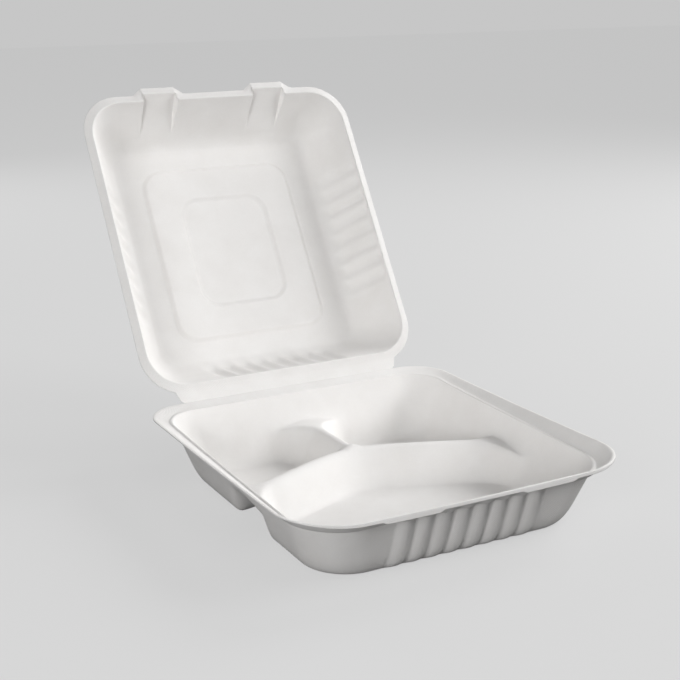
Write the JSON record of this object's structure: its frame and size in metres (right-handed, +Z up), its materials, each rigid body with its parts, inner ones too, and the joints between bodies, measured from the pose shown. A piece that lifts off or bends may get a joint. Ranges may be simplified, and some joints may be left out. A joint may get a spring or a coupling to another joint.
{
  "type": "clamshell food container",
  "caption": "Shallow square food container of moulded pulp: a tray divided by low rounded dividers, and a domed lid that folds up from a crease along its back edge.",
  "frame": {"origin": "middle of the tray's underside, on the flat surface it stands on", "axes": "+X along the crease, -Y towards the free front edge, +Z up; the lid folds about an axis along X at the back"},
  "size_m": [0.227, 0.3801, 0.2464],
  "materials": {
    "moulded_pulp": "matt"
  },
  "bodies": {
    "tray_body": {"base_tray": "moulded_pulp"},
    "lid_body": {"lid": "moulded_pulp"}
  },
  "joints": [
    {"name": "lid_crease", "type": "hinge", "parent": "tray_body", "child": "lid_body", "pos_m": [0, 0.11965, 0.04465], "axis": [1, 0, 0], "range_deg": [-58, 122]}
  ]
}
